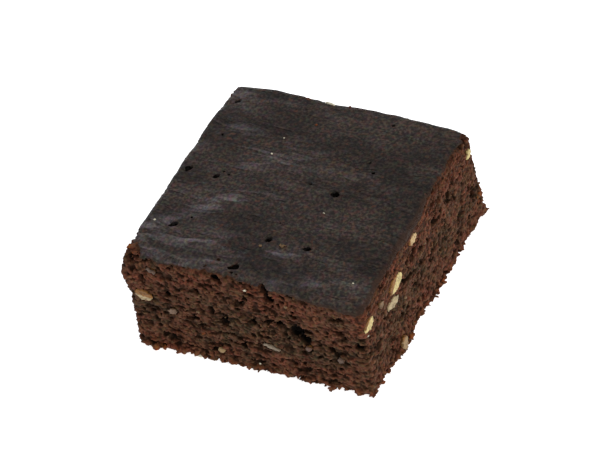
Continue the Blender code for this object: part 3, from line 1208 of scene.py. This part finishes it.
        # Painted sheen: lighter towards the left, and strong in the listed patches.
        bloom = 0.03 + 0.17 * smooth_step(28 * MM, -28 * MM, points[:, 0])
        for patch in SHEEN_PATCHES:
            offset = points / MM - (patch.x, patch.y, 0)
            along, aside = (offset @ np.array(axis) for axis in STREAK_AXES[:2])
            far = (along / patch.length) ** 2 + (aside / patch.breadth) ** 2
            bloom = bloom + patch.strength * np.exp(-far)
        readings = {
            # hollow, with the wells, masks the painted shade in pores, hollows and bubbles.
            "hollow": depth + 1.2 * well,
            "lip": lip / MM,
            "rise": self.lattice.read(fields["rise"], points),
            "pore": smooth_step(0.12 * MM, -0.12 * MM, self.lattice.read(fields["pore"], points)),
            "middle": smooth_step(4 * MM, 9 * MM, up) * smooth_step(21 * MM, 15 * MM, up),
            "smear": right * smooth_step(5.5 * MM, 3.0 * MM, lip),
            # edge masks the painted orange glow near the block's edges.
            "edge": (1 - smooth_step(0.0, 3 * MM, nearest)) * smooth_step(1 * MM, 4 * MM, lip),
            "bloom": np.minimum(bloom, 1),
            "brink": np.maximum(
                smooth_step(0.35 * MM, 0.9 * MM, drop), right * smooth_step(0.04 * MM, 0.35 * MM, drop)
            ),
        }
        corners = points[quads]
        centre = corners.mean(axis=1)
        normal = np.cross(corners[:, 2] - corners[:, 0], corners[:, 3] - corners[:, 1])
        steep = normal[:, 2] / np.maximum(np.linalg.norm(normal, axis=1), 1e-12)
        foot = (centre[:, 2] < 0.9 * MM) & (steep < -0.6)
        top = (lip[quads].mean(axis=1) < 0) & ~foot
        lean = np.stack([centre @ side.outward for side in Side], axis=1)
        nearest_side = lean.argmax(axis=1)
        made = []
        for side in Side:
            mine = quads[~foot & ~top & (nearest_side == side.value)]
            piece = new_piece(f"crumb_{side.name.lower()}", points, mine, readings)
            lay_flat(piece, side.along, np.array((0.0, 0.0, 1.0)))
            piece.data.materials.append(crumb)
            made.append(piece)
        across, back = np.array((1.0, 0.0, 0.0)), np.array((0.0, 1.0, 0.0))
        for name, mine, material, slot in (
            ("skin", quads[top], skin, "skin"),
            ("foot", quads[foot], crumb, "crumb"),
        ):
            piece = new_piece(name, points, mine, readings)
            lay_flat(piece, across, back)
            piece.data.materials.append(material)
            made.append(piece)
        for piece in made:
            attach(piece, BODY)
            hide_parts(BLOCK_NODE)
            log.info("%s: %d quads", piece.name, len(piece.data.polygons))
        return made


# The almonds


@dataclass
class Almond:
    """A piece of chopped almond, which the knife cut flat."""

    node: str
    tone: Tone
    rind_way: tuple[float, float] = (0.0, 0.0)
    rind_reach: float = 0.0
    cell: float = 0.18 * MM
    swell: float = 0.2

    def build(self, materials: dict[Tone, bpy.types.Material]) -> bpy.types.Object:
        """Meshes and dresses the piece.

        Args:
            materials: The almond's finish for each tone.

        Returns:
            The piece.
        """
        low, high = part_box(self.node)
        lattice = Lattice.around(low, high, self.cell, 6)
        side = Side[self.node.split("_")[1].upper()]
        distance = lattice.distance_to(*solid_mesh(self.node), 1.5 * MM)
        seed = sum(map(ord, self.node))
        distance -= self.swell * MM + 0.12 * MM * lattice.noise(seed, (1.3 * MM,) * 3)
        lines = lattice.lines()
        outward = sum(line * part for line, part in zip(lines, side.outward))
        front = max(Vector(side.outward).dot(corner) for corner in (low, high))
        relief = 0.05 * MM * lattice.noise(seed + 1, (0.8 * MM,) * 3)
        distance = carved(distance, front - 0.08 * MM + relief - outward, 0.2 * MM)
        points, quads = lattice.surface(distance)
        quads = biggest_body(points, quads)
        middle = np.array((low + high) / 2)
        size = np.array(high - low)
        along = (points - middle) @ side.along / abs(size @ side.along) * 2
        upward = (points - middle)[:, 2] / size[2] * 2
        lean = along * self.rind_way[0] + upward * self.rind_way[1]
        behind = front - points @ side.outward
        rind = smooth_step(-0.1, 0.15, lean - 1 + self.rind_reach)
        rind = np.maximum(rind, smooth_step(0.5 * MM, 0.8 * MM, behind))
        piece = new_piece(self.node.replace("nut", "almond"), points, quads, {"rind": rind})
        piece.data.materials.append(materials[self.tone])
        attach(piece, BODY)
        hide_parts(self.node)
        log.info("%s: %d quads", piece.name, len(quads))
        return piece


ALMONDS = (
    Almond("nut_front_skinned", Tone.IVORY, (0.2, 1.0), 1.15, swell=0.45),
    Almond("nut_front_grey", Tone.DUSKY, swell=0.15),
    Almond("nut_front_low", Tone.TAN, swell=0.1),
    Almond("nut_front_sliver", Tone.GREY, swell=0.05),
    Almond("nut_front_pink", Tone.ROSE, swell=0.1),
    Almond("nut_front_corner", Tone.UMBER, swell=0.08),
    Almond("nut_front_flake", Tone.UMBER, swell=0.08),
    Almond("nut_right_near", Tone.CREAM, (-0.5, 0.9), 0.5, swell=0.25),
    Almond("nut_right_small", Tone.FAWN),
    Almond("nut_right_large", Tone.CREAM, (-0.8, 0.6), 0.7, swell=0.6),
    Almond("nut_right_second", Tone.IVORY, swell=0.35),
    Almond("nut_right_high", Tone.HONEY, (-1.0, 0.0), 0.4, swell=0.32),
    Almond("nut_right_foot", Tone.TAN, (0.0, 1.0), 0.3, swell=0.35),
    Almond("nut_right_far", Tone.CREAM),
    Almond("nut_back_edge", Tone.CREAM, (0.0, 1.0), 0.4),
    Almond("nut_back_large", Tone.CREAM, (0.7, 0.7), 0.8),
    Almond("nut_back_middle", Tone.GREY),
    Almond("nut_back_low", Tone.HONEY, (0.0, -1.0), 0.5),
    Almond("nut_back_small", Tone.DUSKY),
    Almond("nut_left_large", Tone.CREAM, (-0.5, 0.9), 0.8),
    Almond("nut_left_middle", Tone.GREY),
    Almond("nut_left_low", Tone.HONEY, (1.0, 0.0), 0.5),
    Almond("nut_left_small", Tone.DUSKY),
)


# The bits


PROUD = 0.5 * MM


class Bit(NamedTuple):
    """A crumb or a chip of almond on a surface, in mm. Its side is None for the top."""

    side: Side | None
    along: float
    up: float
    size: float
    shares: tuple[float, float, float] = (1.0, 0.8, 0.7)


@dataclass
class Bits:
    """Loose bits that stick to the block, as one piece."""

    name: str
    slot: str
    bits: tuple[Bit, ...]
    readings: tuple[tuple[str, float], ...] = ()
    sunk: float = 0.3
    cell: float = 0.12 * MM

    def build(self, block: list[bpy.types.Object], material: bpy.types.Material) -> bpy.types.Object:
        """Meshes the bits where they touch the block.

        Args:
            block: The block's pieces.
            material: The bits' finish.

        Returns:
            The piece.
        """
        bpy.context.view_layer.update()
        points, quads, total = [], [], 0
        for number, bit in enumerate(self.bits):
            way = Vector((0, 0, 1)) if bit.side is None else Vector(bit.side.outward)
            across = Vector((1, 0, 0)) if bit.side is None else Vector(bit.side.along)
            upward = way.cross(across)
            start = (across * bit.along + upward * bit.up) * MM + way * 0.05
            hits = [piece.ray_cast(start, -way) for piece in block]
            place = max((hit[1] for hit in hits if hit[0]), key=way.dot)
            size = bit.size * MM / 2
            place = place + way * (size * bit.shares[2] * (1 - 2 * self.sunk))
            room = Vector((size,) * 3) * max(bit.shares[1:])
            place = Vector(map(max, place, CAD_BOX[0] + room - Vector((PROUD, PROUD, 0))))
            place = Vector(map(min, place, CAD_BOX[1] - room + Vector((PROUD, PROUD, PROUD))))
            inner = Vector((size,) * 3)
            lattice = Lattice.around(-inner, inner, self.cell, 5)
            lines = np.broadcast_arrays(*lattice.lines())
            scaled = [
                sum(part * line for part, line in zip(axis, lines)) / (size * share)
                for axis, share in zip((across, upward, way), bit.shares)
            ]
            rough = 0.22 * lattice.noise(number + 60, (max(size, 3 * self.cell) * 1.5,) * 3)
            distance = (np.sqrt(sum(part**2 for part in scaled)) - 1 + rough) * size * min(bit.shares)
            found, faces = lattice.surface(distance)
            faces = biggest_body(found, faces)
            points.append(found + np.array(place))
            quads.append(faces + total)
            total += len(found)
        points, quads = np.concatenate(points), np.concatenate(quads)
        readings = {name: np.full(len(points), value) for name, value in self.readings}
        piece = new_piece(self.name, points, quads, readings)
        piece.data.materials.append(material)
        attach(piece, BODY)
        log.info("%s: %d quads", piece.name, len(quads))
        return piece


CHIPS = (
    Bit(None, -10.9, 16.6, 0.55),
    Bit(None, -11.1, 10.2, 0.6),
    Bit(None, -29.0, -18.9, 0.65),
    Bit(None, 10.2, -4.8, 0.55),
    Bit(None, -5.2, 31.5, 1.5, (1.5, 0.5, 0.5)),
    Bit(None, 26.8, -24.1, 0.5),
    Bit(Side.FRONT, 1.8, 27.0, 0.7),
    Bit(Side.FRONT, 1.8, 2.6, 0.6),
    Bit(Side.FRONT, -14.9, 0.6, 1.1),
    Bit(Side.RIGHT, -30.9, 19.5, 0.6),
    Bit(Side.RIGHT, -21.0, 13.0, 0.5),
    Bit(Side.BACK, -2.0, 15.0, 0.8),
    Bit(Side.BACK, 17.0, 6.0, 0.7),
    Bit(Side.LEFT, 2.0, 12.0, 0.8),
    Bit(Side.LEFT, -17.0, 16.0, 0.6),
)

FLECKS = (
    Bit(None, 5.3, -18.2, 1.5, (1.0, 0.7, 0.4)),
    Bit(None, 0.2, -19.6, 0.9, (1.0, 0.8, 0.4)),
    Bit(Side.FRONT, 12.3, 24.6, 0.8),
    Bit(Side.FRONT, -12.9, 15.7, 0.8),
    Bit(Side.FRONT, 2.2, 10.4, 0.7),
    Bit(Side.FRONT, 25.6, 22.6, 0.7),
    Bit(Side.RIGHT, -11.4, 13.2, 0.8),
    Bit(Side.RIGHT, 2.2, 18.4, 0.8),
    Bit(Side.RIGHT, 13.9, 13.6, 0.7),
    Bit(Side.BACK, -13.0, 19.0, 0.9),
    Bit(Side.LEFT, 9.0, 21.0, 0.9),
)

CRUMBS = (
    Bit(Side.FRONT, -26.6, 0.8, 2.1),
    Bit(Side.FRONT, -24.6, 0.8, 1.5),
    Bit(Side.FRONT, -20.6, 0.7, 1.6),
    Bit(Side.FRONT, -28.8, 1.6, 1.3),
    Bit(Side.FRONT, -1.4, 0.6, 1.5),
    Bit(Side.FRONT, 14.6, 0.6, 1.7),
    Bit(Side.FRONT, 20.8, 0.6, 1.2),
    Bit(Side.FRONT, -12.6, 8.6, 1.0),
    Bit(Side.RIGHT, -13.4, 2.1, 2.0),
    Bit(Side.RIGHT, -8.0, 0.8, 1.3),
    Bit(Side.RIGHT, 6.8, 0.8, 1.5),
    Bit(Side.RIGHT, 12.0, 1.4, 1.2),
    Bit(Side.RIGHT, 31.0, 8.0, 1.6),
    Bit(Side.RIGHT, 31.6, 5.2, 1.3),
    Bit(Side.BACK, 9.0, 0.8, 1.6),
    Bit(Side.BACK, -21.0, 1.0, 1.4),
    Bit(Side.LEFT, -8.0, 0.8, 1.5),
    Bit(Side.LEFT, 22.0, 1.0, 1.7),
    Bit(None, -31.4, -28.0, 1.3, (1.0, 0.9, 0.7)),
    Bit(None, -29.0, -30.0, 1.0),
    Bit(None, -32.0, -9.4, 0.9),
    Bit(None, 0.1, 32.0, 0.7),
    Bit(None, -5.0, 23.0, 0.7),
)


# The studio


@dataclass
class Studio:
    """A pale floor, soft lights and the camera."""

    azimuth: float = math.radians(34.16)
    elevation: float = math.radians(43.26)
    roll: float = math.radians(-12.42)
    distance: float = 768 * MM
    aim: Vector = field(default_factory=lambda: Vector((-5.48, 7.21, 9.41)) * MM)
    lens: float = 185.25
    floor_size: float = 6.0

    def add_camera(self) -> None:
        """Stands the camera where it sees the front and right cuts and the top."""
        sight = bpy.data.cameras.new("camera")
        sight.lens, sight.sensor_width = self.lens, 36.0
        sight.clip_start, sight.clip_end = 0.05, 50.0
        camera = bpy.data.objects.new("camera", sight)
        flat = math.cos(self.elevation)
        back = Vector((
            math.sin(self.azimuth) * flat,
            -math.cos(self.azimuth) * flat,
            math.sin(self.elevation),
        ))
        camera.location = self.aim + back * self.distance
        level = (-back).to_track_quat("-Z", "Y")
        camera.rotation_mode = "QUATERNION"
        camera.rotation_quaternion = level @ Quaternion((0, 0, 1), self.roll)
        bpy.context.scene.collection.objects.link(camera)
        bpy.context.scene.camera = camera

    def add_floor(self) -> None:
        """Lays the floor under the block."""
        half = self.floor_size / 2
        points = np.array([(x, y, 0.0) for x, y in ((-half, -half), (half, -half), (half, half), (-half, half))])
        floor = new_piece("floor", points - (0, 0, 0.02 * MM), np.array([(0, 1, 2, 3)]))
        bench = Bench("floor")
        floor.data.materials.append(bench.finish({
            "Base Color": (0.9, 0.9, 0.9),
            "Roughness": 0.9,
            "Emission Color": (1.0, 1.0, 1.0),
            "Emission Strength": 0.8,
        }))

    def add_light(self, name: str, azimuth: float, elevation: float, size: float, watts: float, colour: Colour) -> None:
        """Hangs a square light that looks at the block.

        Args:
            name: The light's name.
            azimuth: Where it stands, in degrees from the front towards the right.
            elevation: How high, in degrees.
            size: Its side, in metres.
            watts: Its power.
            colour: Its colour.
        """
        light = bpy.data.lights.new(name, "AREA")
        light.size, light.energy, light.color = size, watts, colour
        lamp = bpy.data.objects.new(name, light)
        turn, rise = math.radians(azimuth), math.radians(elevation)
        back = Vector((math.sin(turn) * math.cos(rise), -math.cos(turn) * math.cos(rise), math.sin(rise)))
        lamp.location = back * 1.2
        lamp.rotation_mode = "QUATERNION"
        lamp.rotation_quaternion = (-back).to_track_quat("-Z", "Y")
        bpy.context.scene.collection.objects.link(lamp)

    def build(self) -> None:
        """Sets up everything but the object."""
        self.add_camera()
        self.add_floor()
        self.add_light("key", 80, 50, 0.8, 8.3, (1.0, 0.97, 0.93))
        self.add_light("sky", -120, 50, 1.1, 3.2, (0.80, 0.88, 1.0))
        self.add_light("fill", -10, 25, 0.9, 0.8, (1.0, 0.98, 0.95))
        world = bpy.data.worlds.new("world")
        world.use_nodes = True
        background = world.node_tree.nodes["Background"]
        background.inputs["Color"].default_value = (0.95, 0.97, 1.0, 1.0)
        background.inputs["Strength"].default_value = 0.42
        scene = bpy.context.scene
        scene.world = world
        scene.view_settings.view_transform = "Standard"


def main() -> None:
    """Builds the studio, the block and the almonds, and notes the sizes."""
    logging.basicConfig(level=logging.INFO, format="%(name)s %(message)s", stream=sys.stdout)
    Studio().build()
    crumb = CrumbFinish().build()
    block = Block().build(crumb, SkinFinish().build())
    materials = {tone: AlmondFinish(tone).build() for tone in Tone}
    for almond in ALMONDS:
        almond.build(materials)
    Bits("chips", "almond", CHIPS).build(block, materials[Tone.PALE])
    Bits("flecks", "almond", FLECKS).build(block, materials[Tone.FAWN])
    # The loose crumbs get the painted edge glow at full strength.
    Bits("crumbs", "crumb", CRUMBS, (("rise", 0.7), ("edge", 1.5), ("lip", 5.0))).build(block, crumb)


if __name__ == "__main__":
    main()
